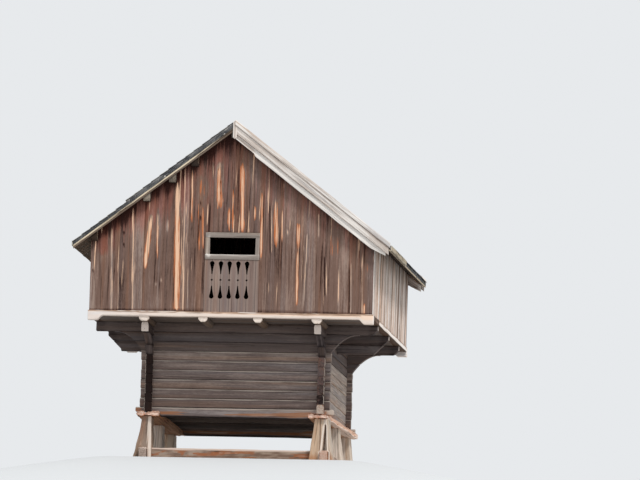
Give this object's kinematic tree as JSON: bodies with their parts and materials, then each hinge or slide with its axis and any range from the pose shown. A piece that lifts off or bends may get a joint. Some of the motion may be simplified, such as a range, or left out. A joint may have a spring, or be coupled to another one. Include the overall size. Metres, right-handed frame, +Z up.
{
  "type": "raised granary",
  "caption": "Log granary raised on short flared posts, with a wider boarded loft on coved log consoles, a small opening over a cut-out panel in the gable, and a steep gable roof.",
  "frame": {"origin": "middle of the plan at ground level", "axes": "+Z up; +Y from the front gable, with the opening, towards the rear gable; +X to the right seen from the front"},
  "size_m": [7.13, 6.77, 7.4446],
  "materials": {
    "ground_timber": "weathered, rotten along the lower edge",
    "post_timber": "hewn, weathered, checked",
    "plank_wood": "weathered",
    "log_wall_timber": "hewn, dark and weathered",
    "console_timber": "hewn, dark and weathered",
    "floor_wood": "sawn, dry",
    "beam_timber": "hewn, pale sawn ends",
    "pale_rail_wood": "bleached, nearly white",
    "frame_timber": "hewn, dry",
    "gable_board_wood": "weathered, with orange-tan streaks",
    "side_board_wood": "weathered grey-brown",
    "opening_frame_wood": "weathered grey-tan",
    "panel_wood": "weathered",
    "roof_board_wood": "sawn, weathered",
    "roof_slate": "dark, mossy along the edges",
    "barge_wood": "silver-grey, weathered",
    "verge_strip_wood": "dark, weathered",
    "eave_board_wood": "weathered with lichen"
  },
  "bodies": {
    "root": {"left_ground_sill": "ground_timber", "right_ground_sill": "ground_timber", "ground_cross_beams": "ground_timber", "left_posts": "post_timber", "right_posts": "post_timber", "left_post_plank": "plank_wood", "right_post_plank": "plank_wood", "front_log_wall": "log_wall_timber", "rear_log_wall": "log_wall_timber", "left_log_wall": "log_wall_timber", "right_log_wall": "log_wall_timber", "front_console_logs": "console_timber", "rear_console_logs": "console_timber", "left_console_logs": "console_timber", "right_console_logs": "console_timber", "middle_console_log": "console_timber", "room_joists": "floor_wood", "room_floor": "floor_wood", "loft_floor_beams": "beam_timber", "loft_floor": "floor_wood", "front_sill_rail": "pale_rail_wood", "rear_sill_rail": "pale_rail_wood", "left_sill_rail": "pale_rail_wood", "right_sill_rail": "pale_rail_wood", "left_frame_posts": "frame_timber", "right_frame_posts": "frame_timber", "front_gable_frame": "frame_timber", "rear_gable_frame": "frame_timber", "front_wall_boards": "gable_board_wood", "rear_wall_boards": "gable_board_wood", "left_wall_boards": "side_board_wood", "right_wall_boards": "side_board_wood", "gable_opening_frame": "opening_frame_wood", "baluster_panel": "panel_wood", "left_wall_plate": "frame_timber", "right_wall_plate": "frame_timber", "left_purlins": "frame_timber", "right_purlins": "frame_timber", "ridge_purlin": "frame_timber", "left_roof_boards": "roof_board_wood", "right_roof_boards": "roof_board_wood", "left_roof_covering": "roof_slate", "right_roof_covering": "roof_slate", "barge_boards": "barge_wood", "left_verge_strips": "verge_strip_wood", "eave_boards": "eave_board_wood"}
  },
  "joints": []
}
